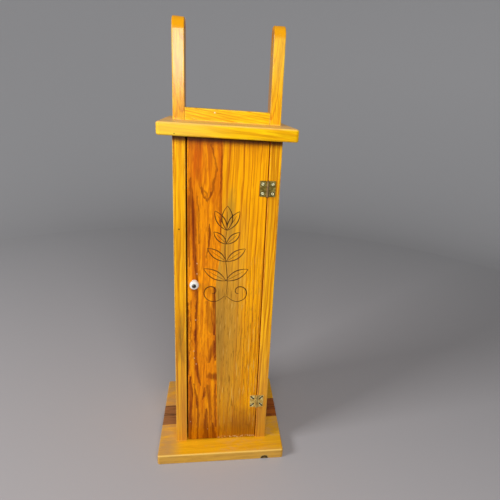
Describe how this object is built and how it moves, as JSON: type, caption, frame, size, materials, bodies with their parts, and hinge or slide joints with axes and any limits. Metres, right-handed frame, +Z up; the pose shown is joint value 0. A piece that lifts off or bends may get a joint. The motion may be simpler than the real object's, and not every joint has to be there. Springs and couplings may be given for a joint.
{
  "type": "roll holder cabinet",
  "caption": "Free-standing pine cabinet on a wide base, with an inset hinged door and china knob, and a grooved yoke on top that takes a roll on a spindle.",
  "frame": {"origin": "centre of the base's underside, where the cabinet stands on the floor", "axes": "+Z up, -Y out of the door's face, +X to the right when facing the door"},
  "size_m": [0.226, 0.23, 0.74],
  "materials": {
    "pine_base": "amber varnish, satin",
    "dark_wood": "varnished",
    "pine_carcass": "amber varnish, satin",
    "pine_top": "amber varnish, gloss",
    "pine_yoke": "amber varnish, gloss",
    "pine_heartwood": "amber varnish over flame grain, satin",
    "pine_door": "amber varnish, satin",
    "aged_brass": "tarnished",
    "white_china": "gloss glaze",
    "dark_steel": "darkened",
    "bright_steel": "plain",
    "catch_plastic": "moulded",
    "magnet": "sintered"
  },
  "bodies": {
    "carcass": {"base_front_board": "pine_base", "base_rear_board": "pine_base", "base_dark_strip_front": "dark_wood", "base_dark_strip_rear": "dark_wood", "left_side": "pine_carcass", "right_side": "pine_carcass", "back_panel": "pine_carcass", "top_cap": "pine_top", "yoke_left_upright": "pine_yoke", "yoke_right_upright": "pine_yoke", "yoke_rail": "pine_yoke", "upper_hinge_frame_leaf": "aged_brass", "upper_hinge_pin": "aged_brass", "lower_hinge_frame_leaf": "aged_brass", "lower_hinge_pin": "aged_brass", "hinge_frame_screws": "aged_brass", "base_screws": "bright_steel", "back_nails": "bright_steel", "cap_nails": "bright_steel", "yoke_screws": "bright_steel", "rail_nails": "bright_steel", "catch_screws": "bright_steel", "catch_pole_plates": "bright_steel", "catch_housing": "catch_plastic", "catch_magnet": "magnet"},
    "door": {"door_left_board": "pine_heartwood", "door_right_board": "pine_door", "knob": "white_china", "knob_screw": "dark_steel", "knob_washer": "dark_steel", "knob_nut": "dark_steel", "upper_hinge_door_leaf": "aged_brass", "lower_hinge_door_leaf": "aged_brass", "hinge_door_screws": "aged_brass", "strike_plate": "bright_steel", "strike_screw": "bright_steel"}
  },
  "joints": [
    {"name": "door_hinge", "type": "hinge", "parent": "carcass", "child": "door", "pos_m": [0.06285, -0.0802, 0.2945], "axis": [0, 0, 1], "range_deg": [0, 180]}
  ]
}
